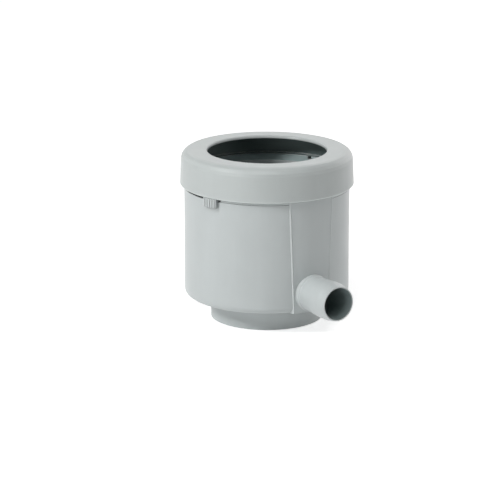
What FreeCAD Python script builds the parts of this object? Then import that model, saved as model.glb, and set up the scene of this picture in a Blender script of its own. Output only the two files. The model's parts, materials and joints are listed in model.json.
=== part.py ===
import FreeCAD, Part

import math
import os

import Sketcher

Vector = FreeCAD.Vector

# Driving sizes in millimetres and degrees. Headings are counted from -Y, where the
# spout points, towards +X. Heights start at the lower rim of the spigot.
SIZES = {
    "overall_height": 148.0,
    "cover_height": 29.5,
    "cover_radius": 75.0,
    "cover_draft": 0.9,
    "cover_wall": 2.5,
    "cover_corner": 7.5,
    "cover_hem": 0.6,
    "opening_play": 5.5,
    "opening_round": 1.5,
    "rim_overlap": 9.1,
    "seat_ledge": 1.6,
    "seat_reach": 2.6,
    "bead_height": 1.3,
    "body_inset": 3.65,
    "body_wall": 2.5,
    "body_corner": 5.0,
    "floor_wall": 2.5,
    "spigot_wall": 2.55,
    "spigot_length": 20.5,
    "chamber_width": 20.55,
    "riser_wall": 2.3,
    "riser_drop": 14.9,
    "spout_radius": 16.5,
    "spout_neck": 15.0,
    "spout_wall": 2.0,
    "spout_lip": 0.9,
    "spout_reach": 110.6,
    "spout_sill": 0.6,
    "spout_collar_radius": 16.05,
    "spout_collar_length": 2.75,
    "spout_land_length": 7.6,
    "spout_lead_length": 9.0,
    "spout_lead_depth": 1.7,
    "pad_proud": 0.25,
    "pad_half_angle_top": 17.2,
    "pad_half_angle_base": 14.0,
    "ridge_proud": 0.55,
    "ridge_half_angle_top": 0.15,
    "ridge_half_angle_root": 2.2,
    "support_count": 4,
    "support_heading": 45.0,
    "support_reach": 6.5,
    "support_half_angle": 0.9,
    "slot_drop": 2.6,
    "slot_play": 0.3,
    "notch_heading": 114.0,
    "notch_half_angle": 1.6,
    "notch_depth": 2.5,
    "lug_count": 3,
    "lug_heading": 90.0,
    "lug_half_angle": 7.0,
    "lug_height": 1.7,
    "lug_proud": 0.75,
    "key_heading": 180.0,
    "key_half_angle": 2.8,
    "key_depth": 4.0,
    "strainer_wall": 1.8,
    "strainer_skirt": 7.0,
    "strainer_skirt_wall": 1.3,
    "sieve_groups": 5,
    "sieve_slots": 6,
    "sieve_pitch": 5.6,
    "sieve_slot_half_angle": 1.5,
    "sieve_margin": 2.6,
    "shutter_wall": 1.8,
    "sleeve_wall": 2.0,
    "sleeve_rise": 3.6,
    "window_half_angle": 17.0,
    "window_margin": 1.2,
    "tab_heading": -73.8,
    "tab_half_angle": 5.5,
    "tab_height": 7.6,
    "tab_depth": 2.8,
    "tab_ribs": 5,
    "tab_rib_pitch": 2.05,
    "tab_rib_half_angle": 0.5,
    "tab_rib_proud": 0.7,
    "open_turn": 2.0,
    "close_turn": 34.0,
    "fit_gap": 0.3,
    "running_gap": 0.5,
}

doc = FreeCAD.newDocument("rainwater_diverter")
sheet = doc.addObject("Spreadsheet::Sheet", "Sizes")
for row, (alias, number) in enumerate(SIZES.items(), start=1):
    sheet.set(f"A{row}", alias)
    sheet.set(f"B{row}", str(number))
    sheet.setAlias(f"B{row}", alias)
doc.recompute()


class Size:
    """A value together with the expression that ties it to the sheet."""

    def __init__(self, value, text):
        self.value = value
        self.text = text

    def __add__(self, other):
        other = sized(other)
        return Size(self.value + other.value, f"({self.text} + {other.text})")

    def __sub__(self, other):
        other = sized(other)
        return Size(self.value - other.value, f"({self.text} - {other.text})")

    def __mul__(self, other):
        other = sized(other)
        return Size(self.value * other.value, f"({self.text} * {other.text})")

    def __truediv__(self, other):
        other = sized(other)
        return Size(self.value / other.value, f"({self.text} / {other.text})")

    def __neg__(self):
        return Size(-self.value, f"(0 - {self.text})")


def sized(number):
    """A plain number as a Size, and a Size as it is."""
    if isinstance(number, Size):
        return number
    return Size(float(number), repr(float(number)))


def cell(alias):
    """The Size held in one named cell of the sheet."""
    return Size(float(SIZES[alias]), f"Sizes.{alias}")


def bind(thing, path, size):
    """Tie one property of a document object to the sheet."""
    thing.setExpression(path, size.text)


# Levels and radii that several pieces share
ZERO = sized(0)
top_z = cell("overall_height")
cover_edge_z = top_z - cell("cover_height")
rim_z = cover_edge_z + cell("rim_overlap")
underside_z = cell("spigot_length")
floor_z = underside_z + cell("floor_wall")
riser_top_z = cover_edge_z - cell("riser_drop")
sleeve_top_z = cover_edge_z + cell("sleeve_rise")
body_r = cell("cover_radius") - cell("body_inset")
chamber_r = body_r - cell("body_wall")
riser_outer_r = chamber_r - cell("chamber_width")
passage_r = riser_outer_r - cell("riser_wall")
spigot_r = passage_r + cell("spigot_wall")
opening_r = passage_r + cell("opening_play")
spout_bore_r = cell("spout_neck") - cell("spout_wall")
spout_z = floor_z + spout_bore_r + cell("spout_sill")
spout_mouth_r = cell("spout_radius") - cell("spout_lead_depth")
slot_z = cover_edge_z - cell("slot_drop")
sleeve_outer_r = chamber_r - cell("running_gap")
sleeve_inner_r = sleeve_outer_r - cell("sleeve_wall")
strainer_outer_r = sleeve_inner_r - cell("running_gap")
plate_inner_r = riser_outer_r + cell("strainer_wall")
shutter_top_z = riser_top_z - cell("running_gap")
shutter_under_z = shutter_top_z - cell("shutter_wall")
support_top_z = shutter_under_z - cell("fit_gap")
socket_r = body_r + cell("lug_proud") + cell("fit_gap")
tab_start = cell("tab_heading") - cell("tab_half_angle")
tab_end = cell("tab_heading") + cell("tab_half_angle")
first_group = sized(180) / cell("sieve_groups")


def new_body(name):
    body = doc.addObject("PartDesign::Body", name)
    body.Label = name
    return body


def origin_part(body, role):
    """One of a body's own origin planes or axes."""
    return next(item for item in body.Origin.OriginFeatures if item.Role == role)


def new_sketch(body, name, role, height=ZERO, lift=ZERO):
    """A sketch on an origin plane, moved along its normal and along its own upward axis."""
    sketch = body.newObject("Sketcher::SketchObject", name)
    sketch.AttachmentSupport = [(origin_part(body, role), "")]
    sketch.MapMode = "FlatFace"
    sketch.AttachmentOffset = FreeCAD.Placement(
        Vector(0, lift.value, height.value), FreeCAD.Rotation())
    bind(sketch, "AttachmentOffset.Base.y", lift)
    bind(sketch, "AttachmentOffset.Base.z", height)
    return sketch


def tie(sketch, constraint, size):
    """Add one dimension to a sketch and bind it to the sheet."""
    index = sketch.addConstraint(constraint)
    bind(sketch, f"Constraints[{index}]", size)


def polygon(sketch, points):
    """A closed outline of straight lines whose corners are bound to the sheet."""
    count = len(points)
    for i, (x, y) in enumerate(points):
        to_x, to_y = points[(i + 1) % count]
        start = Vector(x.value, y.value, 0)
        end = Vector(to_x.value, to_y.value, 0)
        sketch.addGeometry(Part.LineSegment(start, end), False)
    for i in range(count):
        sketch.addConstraint(Sketcher.Constraint("Coincident", i, 2, (i + 1) % count, 1))
    for i, (x, y) in enumerate(points):
        if x is ZERO:
            sketch.addConstraint(Sketcher.Constraint("PointOnObject", i, 1, -2))
        else:
            tie(sketch, Sketcher.Constraint("DistanceX", -1, 1, i, 1, x.value), x)
        if y is ZERO:
            sketch.addConstraint(Sketcher.Constraint("PointOnObject", i, 1, -1))
        else:
            tie(sketch, Sketcher.Constraint("DistanceY", -1, 1, i, 1, y.value), y)


def round_corner(centre_x, centre_y, radius, start, end, steps=4):
    """Points along an arc, near enough to each other that the corner reads as round."""
    points = []
    for step in range(steps + 1):
        angle = math.radians(start + (end - start) * step / steps)
        points.append((centre_x + radius * math.cos(angle), centre_y + radius * math.sin(angle)))
    return points


def sector(sketch, inner, outer, start, end):
    """A closed ring sector between two radii and two headings."""
    from_angle = start - 90
    to_angle = end - 90
    first = math.radians(from_angle.value)
    last = math.radians(to_angle.value)

    def corner(radius, angle):
        return Vector(radius.value * math.cos(angle), radius.value * math.sin(angle), 0)

    def arc(radius):
        circle = Part.Circle(Vector(), Vector(0, 0, 1), radius.value)
        return Part.ArcOfCircle(circle, first, last)

    sketch.addGeometry(Part.LineSegment(corner(inner, first), corner(outer, first)), False)
    sketch.addGeometry(arc(outer), False)
    sketch.addGeometry(Part.LineSegment(corner(inner, last), corner(outer, last)), False)
    sketch.addGeometry(arc(inner), False)
    joins = [(0, 2, 1, 1), (1, 2, 2, 2), (2, 1, 3, 2), (3, 1, 0, 1), (1, 3, -1, 1), (3, 3, -1, 1)]
    for join in joins:
        sketch.addConstraint(Sketcher.Constraint("Coincident", *join))
    tie(sketch, Sketcher.Constraint("Radius", 1, outer.value), outer)
    tie(sketch, Sketcher.Constraint("Radius", 3, inner.value), inner)
    for line, angle in ((0, from_angle), (2, to_angle)):
        degrees = angle * Size(1.0, "1 deg")
        tie(sketch, Sketcher.Constraint("Angle", line, math.radians(angle.value)), degrees)


def turned(body, kind, name, sketch, axis=None):
    """A full turn of a sketch, adding (Revolution) or removing (Groove) material."""
    feature = body.newObject(f"PartDesign::{kind}", name)
    feature.Profile = sketch
    feature.ReferenceAxis = axis or (origin_part(body, "Z_Axis"), [""])
    feature.Angle = 360.0
    sketch.Visibility = False
    return feature


def raised(body, kind, name, sketch, length):
    """A sketch on a level plane drawn upwards, adding (Pad) or removing (Pocket) material."""
    feature = body.newObject(f"PartDesign::{kind}", name)
    feature.Profile = sketch
    feature.Length = length.value
    bind(feature, "Length", length)
    feature.Reversed = kind == "Pocket"
    return feature


def turn_pattern(body, name, angle, count):
    """A pattern about the upright axis, with its angle and number tied to the sheet."""
    pattern = body.newObject("PartDesign::PolarPattern", name)
    pattern.Axis = (origin_part(body, "Z_Axis"), [""])
    pattern.Angle = angle.value
    bind(pattern, "Angle", angle)
    pattern.Occurrences = int(count.value)
    bind(pattern, "Occurrences", count)
    return pattern


def polar(body, name, feature, angle, count):
    """Copies of a feature, turned about the upright axis."""
    pattern = turn_pattern(body, name, angle, count)
    pattern.Originals = [feature]
    body.Tip = pattern


def grouped(body, name, feature, turns):
    """Copies of a feature by several polar patterns, one inside the other."""
    multi = body.newObject("PartDesign::MultiTransform", name)
    multi.Originals = [feature]
    multi.Transformations = [turn_pattern(body, f"{name}_turn", *turn) for turn in turns]
    body.Tip = multi


def outer_form(body):
    """The solid drum with its spigot, rounded below."""
    corner = cell("body_corner")
    sketch = new_sketch(body, "drum_outline", "XZ_Plane")
    polygon(sketch, [
        (ZERO, ZERO),
        (spigot_r, ZERO),
        (spigot_r, underside_z),
        *round_corner(body_r - corner, underside_z + corner, corner, -90, 0),
        (body_r, rim_z),
        (ZERO, rim_z),
    ])
    turned(body, "Revolution", "drum", sketch)


def polar_point(radius, heading):
    """Sketch coordinates of a point that is given by its radius and heading."""
    angle = math.radians(heading.value)
    sine = Size(math.sin(angle), f"sin({heading.text} * 1 deg)")
    cosine = Size(math.cos(angle), f"cos({heading.text} * 1 deg)")
    return radius * sine, -(radius * cosine)


def ridge_section(sketch, half_angle):
    """The outline of the ridge on the pad's left edge at one level, wide at its root."""
    crest_r = body_r + cell("pad_proud") + cell("ridge_proud")
    root = cell("ridge_half_angle_root")
    crest = cell("ridge_half_angle_top")
    polygon(sketch, [
        polar_point(chamber_r, -half_angle - root),
        polar_point(crest_r, -half_angle - crest),
        polar_point(crest_r, -half_angle + crest),
        polar_point(chamber_r, -half_angle + root),
    ])


def slide_panel(body):
    """A panel on the drum's side that narrows downwards and is trimmed to a round face."""
    panel_r = body_r + cell("pad_proud")
    panel_top_z = cover_edge_z - cell("fit_gap")
    base_half = polar_point(panel_r, cell("pad_half_angle_base"))[0]
    top_half = polar_point(panel_r, cell("pad_half_angle_top"))[0]
    start = chamber_r - cell("support_reach")
    front = new_sketch(body, "panel_outline", "XZ_Plane", start)
    polygon(front, [
        (-base_half, underside_z),
        (base_half, underside_z),
        (top_half, panel_top_z),
        (-top_half, panel_top_z),
    ])
    raised(body, "Pad", "panel", front, panel_r + cell("body_corner") - start)
    trim = new_sketch(body, "panel_trim_outline", "XZ_Plane")
    polygon(trim, [
        (panel_r, ZERO),
        (panel_r + cell("body_corner") * 2, ZERO),
        (panel_r + cell("body_corner") * 2, rim_z),
        (panel_r, rim_z),
    ])
    turned(body, "Groove", "panel_trim", trim)


def mould_slide_pad(body):
    """The panel that the mould's slide leaves round the spout, with a raised line at each side."""
    slide_panel(body)
    foot = new_sketch(body, "ridge_foot", "XY_Plane", underside_z)
    ridge_section(foot, cell("pad_half_angle_base"))
    head = new_sketch(body, "ridge_head", "XY_Plane", cover_edge_z - cell("fit_gap"))
    ridge_section(head, cell("pad_half_angle_top"))
    ridge = body.newObject("PartDesign::AdditiveLoft", "ridge")
    ridge.Profile = foot
    ridge.Sections = [head]
    ridge.Ruled = True
    mirror = body.newObject("PartDesign::Mirrored", "ridge_pair")
    mirror.Originals = [ridge]
    mirror.MirrorPlane = (origin_part(body, "YZ_Plane"), [""])
    body.Tip = mirror


def spout(body):
    """The solid outlet stub: a low collar, then a neck that widens to a land which grips the hose."""
    radius = cell("spout_radius")
    neck = cell("spout_neck")
    collar_r = cell("spout_collar_radius")
    start = chamber_r - cell("support_reach")
    collar_end = body_r + cell("pad_proud") + cell("spout_collar_length")
    collar_edge = collar_end - (collar_r - neck)
    lead_start = cell("spout_reach") - cell("spout_lead_length")
    sketch = new_sketch(body, "spout_outline", "YZ_Plane", lift=spout_z)
    polygon(sketch, [
        (-start, ZERO),
        (-start, collar_r),
        (-collar_edge, collar_r),
        (-collar_end, neck),
        (-(lead_start - cell("spout_land_length")), radius),
        (-lead_start, radius),
        (-cell("spout_reach"), spout_mouth_r),
        (-cell("spout_reach"), ZERO),
    ])
    turned(body, "Revolution", "spout", sketch, (sketch, ["H_Axis"]))


def hollows(body):
    """The chamber round the riser, the passage through the riser, and the spout's bore."""
    chamber = new_sketch(body, "chamber_outline", "XZ_Plane")
    polygon(chamber, [
        (riser_outer_r, floor_z),
        (chamber_r, floor_z),
        (chamber_r, rim_z),
        (ZERO, rim_z),
        (ZERO, riser_top_z),
        (riser_outer_r, riser_top_z),
    ])
    turned(body, "Groove", "chamber", chamber)
    passage = new_sketch(body, "passage_outline", "XZ_Plane")
    polygon(passage, [
        (ZERO, ZERO),
        (passage_r, ZERO),
        (passage_r, riser_top_z),
        (ZERO, riser_top_z),
    ])
    turned(body, "Groove", "passage", passage)
    start = chamber_r - cell("support_reach")
    bore = new_sketch(body, "spout_bore_outline", "YZ_Plane", lift=spout_z)
    polygon(bore, [
        (-start, ZERO),
        (-start, spout_bore_r),
        (-(cell("spout_reach") - cell("spout_lead_length")), spout_bore_r),
        (-cell("spout_reach"), spout_mouth_r - cell("spout_lip")),
        (-cell("spout_reach"), ZERO),
    ])
    turned(body, "Groove", "spout_bore", bore, (bore, ["H_Axis"]))


def ring_supports(body):
    """Upright ribs in the chamber that carry the shutter ring."""
    middle_of_floor_z = underside_z + cell("floor_wall") / 2
    sketch = new_sketch(body, "support_outline", "XY_Plane", middle_of_floor_z)
    heading = cell("support_heading")
    half = cell("support_half_angle")
    inside_wall = chamber_r + cell("body_wall") / 4
    sector(sketch, chamber_r - cell("support_reach"), inside_wall, heading - half, heading + half)
    rib = raised(body, "Pad", "support", sketch, support_top_z - middle_of_floor_z)
    polar(body, "supports", rib, sized(360), cell("support_count"))


def rim_cuts(body):
    """The slot for the thumb tab, the small notch in the rim and the key seat in the riser."""
    beyond = cell("cover_radius")
    inside = chamber_r - cell("support_reach")
    slot = new_sketch(body, "slot_outline", "XY_Plane", slot_z)
    slot_start = tab_start - cell("close_turn") - cell("slot_play")
    slot_end = tab_end + cell("open_turn") + cell("slot_play")
    sector(slot, inside, beyond, slot_start, slot_end)
    raised(body, "Pocket", "slot", slot, rim_z - slot_z)
    heading = cell("notch_heading")
    half = cell("notch_half_angle")
    notch = new_sketch(body, "notch_outline", "XY_Plane", rim_z - cell("notch_depth"))
    sector(notch, inside, beyond, heading - half, heading + half)
    raised(body, "Pocket", "notch", notch, cell("notch_depth"))
    key = new_sketch(body, "key_seat_outline", "XY_Plane", riser_top_z - cell("key_depth"))
    heading = cell("key_heading")
    half = cell("key_half_angle")
    mid_chamber = riser_outer_r + cell("riser_wall")
    inside_riser = passage_r - cell("riser_wall")
    sector(key, inside_riser, mid_chamber, heading - half, heading + half)
    raised(body, "Pocket", "key_seat", key, cell("key_depth"))


def snap_lugs(body):
    """Short lugs round the rim that the cover's bead snaps under."""
    level = cover_edge_z + cell("cover_hem") + cell("bead_height") + cell("fit_gap")
    sketch = new_sketch(body, "lug_outline", "XY_Plane", level)
    heading = cell("lug_heading")
    half = cell("lug_half_angle")
    middle_of_wall = body_r - cell("body_wall") / 2
    sector(sketch, middle_of_wall, body_r + cell("lug_proud"), heading - half, heading + half)
    lug = raised(body, "Pad", "lug", sketch, cell("lug_height"))
    polar(body, "lugs", lug, sized(360), cell("lug_count"))


def lower_housing():
    """Drum, spigot, riser and spout in one moulding."""
    body = new_body("lower_housing")
    outer_form(body)
    mould_slide_pad(body)
    spout(body)
    hollows(body)
    ring_supports(body)
    rim_cuts(body)
    snap_lugs(body)
    return body


def cover_ring():
    """The ring cover that the downpipe enters, seated on the drum's rim and held by a bead."""
    body = new_body("cover_ring")
    wall = cell("cover_wall")
    corner = cell("cover_corner")
    rim_round = cell("opening_round")
    shoulder_r = cell("cover_radius") - cell("cover_draft")
    lining_r = shoulder_r - wall
    ceiling_z = top_z - wall
    bead_z = cover_edge_z + cell("cover_hem")
    bead_r = body_r + cell("fit_gap")
    ledge_r = socket_r - cell("seat_reach")
    sketch = new_sketch(body, "cover_outline", "XZ_Plane")
    polygon(sketch, [
        (cell("cover_radius") - cell("cover_hem"), cover_edge_z),
        (cell("cover_radius"), bead_z),
        *round_corner(shoulder_r - corner, top_z - corner, corner, 0, 90),
        *round_corner(opening_r + rim_round, top_z - rim_round, rim_round, 90, 180, steps=2),
        (opening_r, ceiling_z),
        (lining_r, ceiling_z),
        (lining_r, rim_z + cell("seat_ledge")),
        (ledge_r, rim_z + cell("seat_ledge")),
        (ledge_r, rim_z),
        (socket_r, rim_z),
        (socket_r, bead_z + cell("bead_height")),
        (bead_r, bead_z + cell("bead_height")),
        (bead_r, bead_z),
        (socket_r, cover_edge_z),
    ])
    turned(body, "Revolution", "cover", sketch)
    return body


def strainer_ring():
    """The fixed sieve ring that sits on the riser, with a skirt inside it."""
    body = new_body("strainer_ring")
    wall = cell("strainer_wall")
    skirt_outer_r = passage_r - cell("fit_gap")
    skirt_inner_r = skirt_outer_r - cell("strainer_skirt_wall")
    sketch = new_sketch(body, "strainer_outline", "XZ_Plane")
    polygon(sketch, [
        (skirt_inner_r, riser_top_z - cell("strainer_skirt")),
        (skirt_outer_r, riser_top_z - cell("strainer_skirt")),
        (skirt_outer_r, riser_top_z),
        (strainer_outer_r, riser_top_z),
        (strainer_outer_r, riser_top_z + wall),
        (skirt_inner_r, riser_top_z + wall),
    ])
    turned(body, "Revolution", "plate_and_skirt", sketch)
    key = new_sketch(body, "key_outline", "XY_Plane", riser_top_z - cell("key_depth") + cell("fit_gap"))
    heading = cell("key_heading")
    half = cell("key_half_angle") - cell("fit_gap")
    middle_of_skirt = skirt_outer_r - cell("strainer_skirt_wall") / 2
    sector(key, middle_of_skirt, riser_outer_r, heading - half, heading + half)
    raised(body, "Pad", "key", key, cell("key_depth"))
    row = cell("sieve_pitch") * (cell("sieve_slots") - 1)
    start = first_group - row / 2
    half_slot = cell("sieve_slot_half_angle")
    sieve = new_sketch(body, "sieve_outline", "XY_Plane", riser_top_z - cell("running_gap"))
    sieve_inner_r = plate_inner_r + cell("sieve_margin")
    sieve_outer_r = strainer_outer_r - cell("sieve_margin")
    sector(sieve, sieve_inner_r, sieve_outer_r, start - half_slot, start + half_slot)
    slot = raised(body, "Pocket", "sieve_slot", sieve, wall * 2)
    grouped(body, "sieve", slot, [(row, cell("sieve_slots")), (sized(360), cell("sieve_groups"))])
    return body


def shutter_ring():
    """The ring that turns under the strainer, with its thumb tab outside the drum."""
    body = new_body("shutter_ring")
    sketch = new_sketch(body, "shutter_outline", "XZ_Plane")
    polygon(sketch, [
        (plate_inner_r, shutter_under_z),
        (sleeve_outer_r, shutter_under_z),
        (sleeve_outer_r, sleeve_top_z),
        (sleeve_inner_r, sleeve_top_z),
        (sleeve_inner_r, shutter_top_z),
        (plate_inner_r, shutter_top_z),
    ])
    turned(body, "Revolution", "sleeve_and_plate", sketch)
    opening = new_sketch(body, "window_outline", "XY_Plane", shutter_under_z)
    centre = first_group - cell("open_turn")
    half = cell("window_half_angle")
    window_inner_r = plate_inner_r + cell("window_margin")
    window_outer_r = sleeve_inner_r - cell("window_margin")
    sector(opening, window_inner_r, window_outer_r, centre - half, centre + half)
    window = raised(body, "Pocket", "window", opening, cell("shutter_wall"))
    polar(body, "windows", window, sized(360), cell("sieve_groups"))
    thumb_tab(body)
    return body


def thumb_tab(body):
    """Arm through the slot and the ribbed pad that a thumb pushes."""
    tab_inner_r = body_r + cell("running_gap")
    tab_outer_r = tab_inner_r + cell("tab_depth")
    tab_top_z = cover_edge_z - cell("fit_gap")
    arm_z = slot_z + cell("fit_gap")
    arm = new_sketch(body, "arm_outline", "XY_Plane", arm_z)
    middle_of_sleeve = sleeve_outer_r - cell("sleeve_wall") / 2
    sector(arm, middle_of_sleeve, tab_inner_r + cell("tab_depth") / 2, tab_start, tab_end)
    raised(body, "Pad", "arm", arm, tab_top_z - arm_z)
    tab_base_z = tab_top_z - cell("tab_height")
    pad = new_sketch(body, "tab_outline", "XY_Plane", tab_base_z)
    sector(pad, tab_inner_r, tab_outer_r, tab_start, tab_end)
    raised(body, "Pad", "tab", pad, cell("tab_height"))
    row = cell("tab_rib_pitch") * (cell("tab_ribs") - 1)
    first = cell("tab_heading") - row / 2
    rib_half = cell("tab_rib_half_angle")
    grip = new_sketch(body, "tab_rib_outline", "XY_Plane", tab_base_z)
    middle_of_tab = tab_inner_r + cell("tab_depth") / 2
    sector(grip, middle_of_tab, tab_outer_r + cell("tab_rib_proud"), first - rib_half, first + rib_half)
    rib = raised(body, "Pad", "tab_rib", grip, cell("tab_height"))
    polar(body, "tab_ribs", rib, row, cell("tab_ribs"))


def write_parts(parts):
    """Check every object, then write one file for each sub-part."""
    doc.recompute()
    for item in doc.Objects:
        if {"Invalid", "Error"} & set(item.State):
            raise RuntimeError(f"{item.Name} failed: {item.State}")
    os.makedirs("parts", exist_ok=True)
    for part in parts:
        if part.Shape.isNull() or not part.Shape.isValid():
            raise RuntimeError(f"{part.Label} has no valid shape")
        part.Shape.exportStep(f"parts/{part.Label}.step")
        print(part.Label, len(part.Shape.Solids), round(part.Shape.Volume, 1))


write_parts([lower_housing(), cover_ring(), strainer_ring(), shutter_ring()])
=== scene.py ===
import json
import math

import bpy
from mathutils import Matrix, Vector


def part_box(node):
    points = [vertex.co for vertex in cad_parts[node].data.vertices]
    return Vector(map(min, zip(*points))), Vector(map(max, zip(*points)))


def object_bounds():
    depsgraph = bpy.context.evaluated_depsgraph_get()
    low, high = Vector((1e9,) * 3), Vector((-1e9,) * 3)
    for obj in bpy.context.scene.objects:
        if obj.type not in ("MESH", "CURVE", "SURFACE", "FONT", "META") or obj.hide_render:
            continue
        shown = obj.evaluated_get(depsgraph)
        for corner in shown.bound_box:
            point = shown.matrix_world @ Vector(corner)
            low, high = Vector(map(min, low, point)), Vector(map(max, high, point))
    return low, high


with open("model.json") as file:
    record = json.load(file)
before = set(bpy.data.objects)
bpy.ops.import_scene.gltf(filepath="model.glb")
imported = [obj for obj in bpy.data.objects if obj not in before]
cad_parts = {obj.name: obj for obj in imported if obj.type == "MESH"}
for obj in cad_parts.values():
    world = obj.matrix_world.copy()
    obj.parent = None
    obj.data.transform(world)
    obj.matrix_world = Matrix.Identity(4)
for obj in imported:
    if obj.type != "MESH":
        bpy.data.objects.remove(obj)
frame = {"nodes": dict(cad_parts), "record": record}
cad_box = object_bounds()

# Lengths are in metres and angles in degrees. A heading is counted from -Y, where the spout
# points, towards +X.

# Where the photograph was taken from: the camera looks at the object's middle, which lies at
# a pixel of the photograph. Its lens and sensor are in millimetres.
LOOK_AT = Vector((0.0, 0.0, cad_box[1].z / 2))
CAMERA_HEADING = -33.0
CAMERA_ELEVATION = 15.1
CAMERA_DISTANCE = 2.361
CAMERA_ROLL = 0.14
CAMERA_LENS = 196.0
CAMERA_SENSOR = 36.0
PHOTO_SIZE = 500
OBJECT_PIXEL = (266.8, 232.0)

# Soft boxes at one distance from the object. The two large ones at its right and behind it
# are a little pink, which takes the plastic's green cast away there.
LAMP_DISTANCE = 2.4
LAMP_SIZE = 1.2
KEY_SIZE = 0.45
SIDE_SIZE = 2.2
WHITE = (1.0, 1.0, 1.0)
PINKISH = (1.0, 0.97, 0.975)

# Each lamp: its heading from the camera's, elevation, power in watts, size and colour
LAMPS = {
    "key": (-60, 35, 27.5, KEY_SIZE, WHITE),
    "low": (-45, 3, 18.5, LAMP_SIZE, WHITE),
    "back_left": (-130, 12, 1.5, LAMP_SIZE, WHITE),
    "front": (0, 62, 13.5, LAMP_SIZE, WHITE),
    "top": (0, 85, 7, LAMP_SIZE, WHITE),
    "near_side": (70, 10, 8, LAMP_SIZE, WHITE),
    "side": (115, 15, 13, SIDE_SIZE, PINKISH),
    "rim": (140, 15, 12.5, SIDE_SIZE, PINKISH),
    "back": (180, 30, 3.4, LAMP_SIZE, WHITE),
}

# The white round the object is seen, also in reflections, but doesn't light it. The floor lies
# just under the object, catches its shadow, and has a glow that is seen in the same way.
BACKGROUND = 1.0
AMBIENT = 0.0
FLOOR_HALF = 6.0
FLOOR_DROP = 0.0002
FLOOR_COLOUR = 0.9
FLOOR_GLOW = 0.6

# The plastic: the scales of its noises per metre, the range that they mostly stay in, and
# how far they show
FLOW_SCALE = 60.0
FLOW_STRETCH = 0.12
MOTTLE_SCALE = 24.0
NOISE_LOW = 0.30
NOISE_HIGH = 0.70
GRAIN_SCALE = 1400.0
GRAIN_HEIGHT = 0.00004
GRAIN_STRENGTH = 0.25
SATIN = 0.34
DULL = 0.5
ROUGHNESS_SPREAD = 0.05
PLASTIC_IOR = 1.5
PLASTIC_SPECULAR = 0.35

# Painted highlights along edges: how wide the edges' rounding is, how pale the highlight gets,
# and the cosines of the angles between the face and its rounded normal where it starts to show and
# shows fully
EDGE_WIDTH = 0.0006
EDGE_SAMPLES = 8
EDGE_HIGHLIGHT_STRENGTH = 0.6
EDGE_START = 0.99
EDGE_FULL = 0.90

# Sockets of a Mix node that mixes colours
MIX_FACTOR = 0
MIX_FIRST = 6
MIX_SECOND = 7
MIX_RESULT = 2

# Places on the object that the painted shade and highlights below need. A limit lies a little
# past the faces that it holds, but the bore's lies a little inside its mouth, whose edge stays
# light. BEYOND lies past the whole object along any axis.
HAIR = 0.0001
BEYOND = -0.2
AXIS = (0.0, 0.0, 0.0)
COVER_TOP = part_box("cover_ring")[1].z
COVER_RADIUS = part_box("cover_ring")[1].x
COVER_INSIDE = 0.0717
COVER_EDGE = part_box("cover_ring")[0].z
LIP_DEPTH = 0.0023
HEM_TOP = COVER_EDGE + 0.0006
HEM_FADE = COVER_EDGE + 0.0015
CORNER_LOW = COVER_EDGE - 0.0014
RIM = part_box("lower_housing")[1].z
DRUM_RADIUS = -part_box("lower_housing")[0].x
DRUM_WALL = 0.0025
DRUM_OUTSIDE = DRUM_RADIUS + HAIR
DRUM_INSIDE = DRUM_RADIUS - DRUM_WALL + HAIR
INNER_WALL_LOW = 0.0600
SILL = COVER_EDGE - 0.0026
LINE_LOW = SILL - 0.0002
# Where the painted shade below the slot lies
SLOT_SHADE_LOW = SILL - 0.0006
SLOT_SHADE_MIDDLE = (-DRUM_RADIUS, -0.0025, 0.0)
SLOT_SHADE_REACH = 0.0270
SLEEVE_SHADE_TOP = 0.1195
TAB_GROOVES = 0.0749
TAB_FACE = 0.0760
TAB_TOP = 0.1182
TAB_BASE = 0.1106
FOOT_HEIGHT = 0.0006
OUTLET = next(mount for mount in frame["record"]["mounts"] if mount["name"] == "outlet")
SPOUT_AXIS = (0.0, 0.0, OUTLET["pos_m"][2])
BORE_RADIUS = 0.01392
BORE_END = -0.0600

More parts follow.
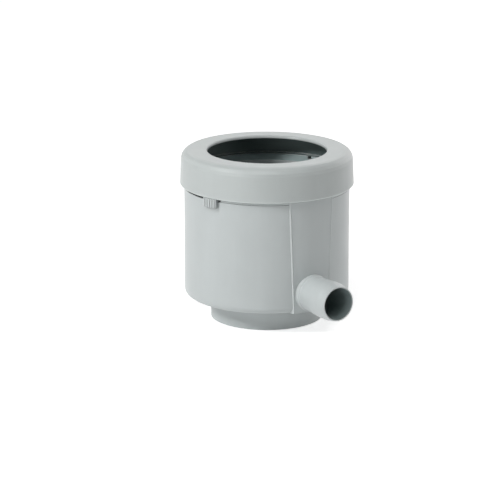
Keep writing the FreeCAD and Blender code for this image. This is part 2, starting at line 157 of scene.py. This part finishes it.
# Painted shade and painted highlights. Each fills a round space: the axis it lies along, a point
# on its own axis, its radius, its low and high ends, and the factor for each colour.
PAINTED_SHADE_AND_LIGHT = {
    "lower_housing": [
        # Painted shade in the spout's bore
        ("Y", SPOUT_AXIS, BORE_RADIUS, BEYOND, BORE_END, (0.50, 0.56, 0.56)),
        # A slight blue-grey painted cast of the shade on the drum's inner wall
        ("Z", AXIS, DRUM_INSIDE, INNER_WALL_LOW, RIM + HAIR, (0.88, 1.0, 1.0)),
        # Painted shade in the corner under the cover's edge
        ("Z", AXIS, COVER_RADIUS, CORNER_LOW, COVER_EDGE + HAIR, (0.80, 0.80, 0.80)),
        # Painted shadow: the slot's sill, and the dark line that carries it on round the drum
        ("Z", AXIS, DRUM_OUTSIDE, LINE_LOW, SILL + HAIR, (0.12, 0.13, 0.13)),
        # Painted shade below the slot
        ("Z", SLOT_SHADE_MIDDLE, SLOT_SHADE_REACH, SLOT_SHADE_LOW, SILL + HAIR, (0.50, 0.51, 0.51)),
    ],
    "cover_ring": [
        # Painted shade on the cover's inside, below the lip of its opening
        ("Z", AXIS, COVER_INSIDE, BEYOND, COVER_TOP - LIP_DEPTH, (0.36, 0.42, 0.42)),
        # A painted highlight on the hem, and a fainter one in the band above it
        ("Z", AXIS, COVER_RADIUS + HAIR, BEYOND, HEM_TOP, (1.6, 1.6, 1.6)),
        ("Z", AXIS, COVER_RADIUS + HAIR, HEM_TOP, HEM_FADE, (1.1, 1.1, 1.1)),
    ],
    "shutter_ring": [
        # Painted shade on the plate and the lower part of the sleeve
        ("Z", AXIS, DRUM_INSIDE, BEYOND, SLEEVE_SHADE_TOP, (0.33, 0.35, 0.35)),
        # Painted shade in the grooves between the tab's ribs
        ("Z", AXIS, TAB_GROOVES, BEYOND, TAB_TOP, (0.86, 0.86, 0.86)),
        # Painted shade along the tab's foot
        ("Z", AXIS, TAB_FACE, TAB_BASE - FOOT_HEIGHT, TAB_BASE + FOOT_HEIGHT, (0.75, 0.75, 0.75)),
    ],
    "strainer_ring": [],
}


def srgb(red, green, blue):
    """A colour given as it is seen, turned into the linear values that nodes take."""
    def linear(value):
        value = value / 255
        return value / 12.92 if value <= 0.04045 else ((value + 0.055) / 1.055) ** 2.4
    return (linear(red), linear(green), linear(blue), 1.0)


# Each moulding's colour, the colour of its flow streaks and its roughness
PLASTICS = {
    "lower_housing": (srgb(193, 199, 199), srgb(185, 191, 191), SATIN),
    "cover_ring": (srgb(188, 194, 193), srgb(180, 186, 185), SATIN),
    "shutter_ring": (srgb(193, 199, 199), srgb(185, 191, 191), SATIN),
    "strainer_ring": (srgb(74, 80, 82), srgb(66, 72, 74), DULL),
}
# The pale grey of the painted highlights along edges
EDGE_HIGHLIGHT_GREY = srgb(236, 238, 238)


def direction(heading, elevation):
    """Unit vector from the object towards a heading and an elevation."""
    a = math.radians(heading)
    e = math.radians(elevation)
    return Vector((math.sin(a) * math.cos(e), -math.cos(a) * math.cos(e), math.sin(e)))


def aim(obj, place, target, roll=0.0):
    """Put an object at a place, looking at a target."""
    turn = (target - place).to_track_quat("-Z", "Y").to_matrix().to_4x4()
    obj.matrix_world = Matrix.Translation(place) @ turn @ Matrix.Rotation(math.radians(roll), 4, "Z")


def make_camera():
    data = bpy.data.cameras.new("camera")
    camera = bpy.data.objects.new("camera", data)
    bpy.context.scene.collection.objects.link(camera)
    data.sensor_width = CAMERA_SENSOR
    data.lens = CAMERA_LENS
    data.shift_x = (PHOTO_SIZE / 2 - OBJECT_PIXEL[0]) / PHOTO_SIZE
    data.shift_y = (OBJECT_PIXEL[1] - PHOTO_SIZE / 2) / PHOTO_SIZE
    place = LOOK_AT + direction(CAMERA_HEADING, CAMERA_ELEVATION) * CAMERA_DISTANCE
    aim(camera, place, LOOK_AT, CAMERA_ROLL)
    bpy.context.scene.camera = camera


def make_lamp(name, heading, elevation, power, size, colour):
    """A square soft box that faces the object's middle."""
    data = bpy.data.lights.new(name, "AREA")
    data.shape = "SQUARE"
    data.size = size
    data.energy = power
    data.color = colour
    lamp = bpy.data.objects.new(name, data)
    bpy.context.scene.collection.objects.link(lamp)
    place = LOOK_AT + direction(CAMERA_HEADING + heading, elevation) * LAMP_DISTANCE
    aim(lamp, place, LOOK_AT)


class Nodes:
    """A small helper for building node trees in order."""

    def __init__(self, tree):
        self.tree = tree
        tree.nodes.clear()

    def add(self, kind, values=None, **settings):
        """A node with its settings, and with values for its sockets."""
        node = self.tree.nodes.new(kind)
        for key, value in settings.items():
            setattr(node, key, value)
        for key, value in (values or {}).items():
            node.inputs[key].default_value = value
        return node

    def link(self, source, target):
        self.tree.links.new(source, target)

    def math(self, operation, first, second):
        """A Math node whose inputs are sockets or plain numbers."""
        node = self.add("ShaderNodeMath", operation=operation)
        for socket, value in zip(node.inputs, (first, second)):
            if isinstance(value, (int, float)):
                socket.default_value = value
            else:
                self.link(value, socket)
        return node.outputs[0]

    def mix(self, factor, first, second, blend="MIX"):
        """A colour socket mixed with a plain colour, as far as the factor socket says."""
        node = self.add("ShaderNodeMix", {MIX_SECOND: second}, data_type="RGBA", blend_type=blend)
        self.link(factor, node.inputs[MIX_FACTOR])
        self.link(first, node.inputs[MIX_FIRST])
        return node.outputs[MIX_RESULT]


def seen_directly(n):
    """1 for what the camera sees directly, in a mirror or through glass."""
    path = n.add("ShaderNodeLightPath")
    seen = n.math("MAXIMUM", path.outputs["Is Camera Ray"], path.outputs["Is Glossy Ray"])
    return n.math("MAXIMUM", seen, path.outputs["Is Transmission Ray"])


def make_world():
    """A white background that is seen but doesn't light the object."""
    world = bpy.data.worlds.new("studio")
    bpy.context.scene.world = world
    world.use_nodes = True
    n = Nodes(world.node_tree)
    ambient = n.add("ShaderNodeBackground", {"Color": (1, 1, 1, 1), "Strength": AMBIENT})
    white = n.add("ShaderNodeBackground", {"Color": (1, 1, 1, 1), "Strength": BACKGROUND})
    mix = n.add("ShaderNodeMixShader")
    n.link(seen_directly(n), mix.inputs["Fac"])
    n.link(ambient.outputs[0], mix.inputs[1])
    n.link(white.outputs[0], mix.inputs[2])
    out = n.add("ShaderNodeOutputWorld")
    n.link(mix.outputs[0], out.inputs["Surface"])


def floor_material():
    """Matt white, with a glow that is seen but doesn't light the object."""
    material = bpy.data.materials.new("pale_floor")
    material.use_nodes = True
    n = Nodes(material.node_tree)
    matt = n.add("ShaderNodeBsdfDiffuse", {"Color": (FLOOR_COLOUR, FLOOR_COLOUR, FLOOR_COLOUR, 1)})
    glow = n.add("ShaderNodeEmission", {"Color": (1, 1, 1, 1), "Strength": FLOOR_GLOW})
    unlit = n.add("ShaderNodeEmission", {"Color": (0, 0, 0, 1), "Strength": 0.0})
    pick = n.add("ShaderNodeMixShader")
    n.link(seen_directly(n), pick.inputs["Fac"])
    n.link(unlit.outputs[0], pick.inputs[1])
    n.link(glow.outputs[0], pick.inputs[2])
    both = n.add("ShaderNodeAddShader")
    n.link(matt.outputs[0], both.inputs[0])
    n.link(pick.outputs[0], both.inputs[1])
    out = n.add("ShaderNodeOutputMaterial")
    n.link(both.outputs[0], out.inputs["Surface"])
    return material


def make_floor():
    mesh = bpy.data.meshes.new("floor")
    half = FLOOR_HALF
    corners = [(-half, -half, 0), (half, -half, 0), (half, half, 0), (-half, half, 0)]
    mesh.from_pydata(corners, [], [(0, 1, 2, 3)])
    floor = bpy.data.objects.new("floor", mesh)
    bpy.context.scene.collection.objects.link(floor)
    floor.location.z = -FLOOR_DROP
    mesh.materials.append(floor_material())


def round_space(n, point, axis, centre, radius, low, high):
    """1 on the part of a surface that lies in a round space, 0 elsewhere."""
    offset = n.add("ShaderNodeVectorMath", {1: centre}, operation="SUBTRACT")
    n.link(point, offset.inputs[0])
    crosswise = (1.0, 1.0, 0.0) if axis == "Z" else (1.0, 0.0, 1.0)
    across = n.add("ShaderNodeVectorMath", {1: crosswise}, operation="MULTIPLY")
    n.link(offset.outputs[0], across.inputs[0])
    distance = n.add("ShaderNodeVectorMath", operation="LENGTH")
    n.link(across.outputs[0], distance.inputs[0])
    parts = n.add("ShaderNodeSeparateXYZ")
    n.link(point, parts.inputs[0])
    near = n.math("LESS_THAN", distance.outputs["Value"], radius)
    above = n.math("GREATER_THAN", parts.outputs[axis], low)
    below = n.math("LESS_THAN", parts.outputs[axis], high)
    return n.math("MULTIPLY", n.math("MULTIPLY", near, above), below)


def streaked(n, point, mottle, light, dark):
    """The plastic's own colour: two close greys, mixed by flow streaks and mottling."""
    streaks = n.add("ShaderNodeMapping", {"Scale": (1.0, 1.0, FLOW_STRETCH)})
    n.link(point, streaks.inputs["Vector"])
    flow = n.add("ShaderNodeTexNoise", {"Scale": FLOW_SCALE, "Detail": 4.0, "Roughness": 0.55})
    n.link(streaks.outputs["Vector"], flow.inputs["Vector"])
    ramp = n.add("ShaderNodeValToRGB")
    first, last = ramp.color_ramp.elements
    first.position = NOISE_LOW
    first.color = dark
    last.position = NOISE_HIGH
    last.color = light
    blend = n.math("ADD", flow.outputs["Fac"], mottle)
    n.link(n.math("MULTIPLY", blend, 0.5), ramp.inputs["Fac"])
    return ramp.outputs["Color"]


def painted_edge_highlight(n, rounded):
    """How far a place gets a painted highlight along an edge: the more, the further its rounded
    normal leans.
    """
    surface = n.add("ShaderNodeNewGeometry")
    along = n.add("ShaderNodeVectorMath", operation="DOT_PRODUCT")
    n.link(rounded, along.inputs[0])
    n.link(surface.outputs["Normal"], along.inputs[1])
    highlit = n.add("ShaderNodeMapRange", {
        "From Min": EDGE_START, "From Max": EDGE_FULL, "To Min": 0.0, "To Max": EDGE_HIGHLIGHT_STRENGTH})
    n.link(along.outputs["Value"], highlit.inputs["Value"])
    return highlit.outputs["Result"]


def varied(n, mottle, roughness):
    """Roughness that varies with the mottling."""
    rough = n.add("ShaderNodeMapRange", {
        "From Min": NOISE_LOW, "From Max": NOISE_HIGH,
        "To Min": roughness - ROUGHNESS_SPREAD, "To Max": roughness + ROUGHNESS_SPREAD})
    n.link(mottle, rough.inputs["Value"])
    return rough.outputs["Result"]


def grained(n, point, rounded):
    """A normal with the mould's fine grain, on edges that look rounded."""
    fine = n.add("ShaderNodeTexNoise", {"Scale": GRAIN_SCALE, "Detail": 2.0, "Roughness": 0.5})
    n.link(point, fine.inputs["Vector"])
    bump = n.add("ShaderNodeBump", {"Strength": GRAIN_STRENGTH, "Distance": GRAIN_HEIGHT})
    n.link(fine.outputs["Fac"], bump.inputs["Height"])
    n.link(rounded, bump.inputs["Normal"])
    return bump.outputs["Normal"]


def moulded_plastic(name, light, dark, roughness, painted_light):
    """Satin moulded plastic: flow streaks up the part, painted shade and highlights, painted
    highlights along edges and fine grain.
    """
    material = bpy.data.materials.new(name)
    material.use_nodes = True
    n = Nodes(material.node_tree)
    point = n.add("ShaderNodeTexCoord").outputs["Object"]
    mottling = n.add("ShaderNodeTexNoise", {"Scale": MOTTLE_SCALE, "Detail": 5.0, "Roughness": 0.6})
    n.link(point, mottling.inputs["Vector"])
    mottle = mottling.outputs["Fac"]
    bevel = n.add("ShaderNodeBevel", {"Radius": EDGE_WIDTH}, samples=EDGE_SAMPLES)
    rounded = bevel.outputs["Normal"]

    colour = streaked(n, point, mottle, light, dark)
    # Painted shade and highlights in their round spaces, then painted highlights along edges
    for *space, factor in painted_light:
        colour = n.mix(round_space(n, point, *space), colour, (*factor, 1.0), "MULTIPLY")
    colour = n.mix(painted_edge_highlight(n, rounded), colour, EDGE_HIGHLIGHT_GREY)

    shader = n.add("ShaderNodeBsdfPrincipled", {
        "IOR": PLASTIC_IOR, "Specular IOR Level": PLASTIC_SPECULAR})
    n.link(colour, shader.inputs["Base Color"])
    n.link(varied(n, mottle, roughness), shader.inputs["Roughness"])
    n.link(grained(n, point, rounded), shader.inputs["Normal"])
    out = n.add("ShaderNodeOutputMaterial")
    n.link(shader.outputs["BSDF"], out.inputs["Surface"])
    return material


def dress(node, material):
    """Put one material in every slot of a node."""
    slots = frame["nodes"][node].data.materials
    for i in range(len(slots)):
        slots[i] = material


make_camera()
make_world()
make_floor()
for name, lamp in LAMPS.items():
    make_lamp(name, *lamp)

for node, plastic in PLASTICS.items():
    dress(node, moulded_plastic(f"{node}_plastic", *plastic, PAINTED_SHADE_AND_LIGHT[node]))

bpy.context.scene.view_settings.view_transform = "Standard"
bpy.context.view_layer.update()
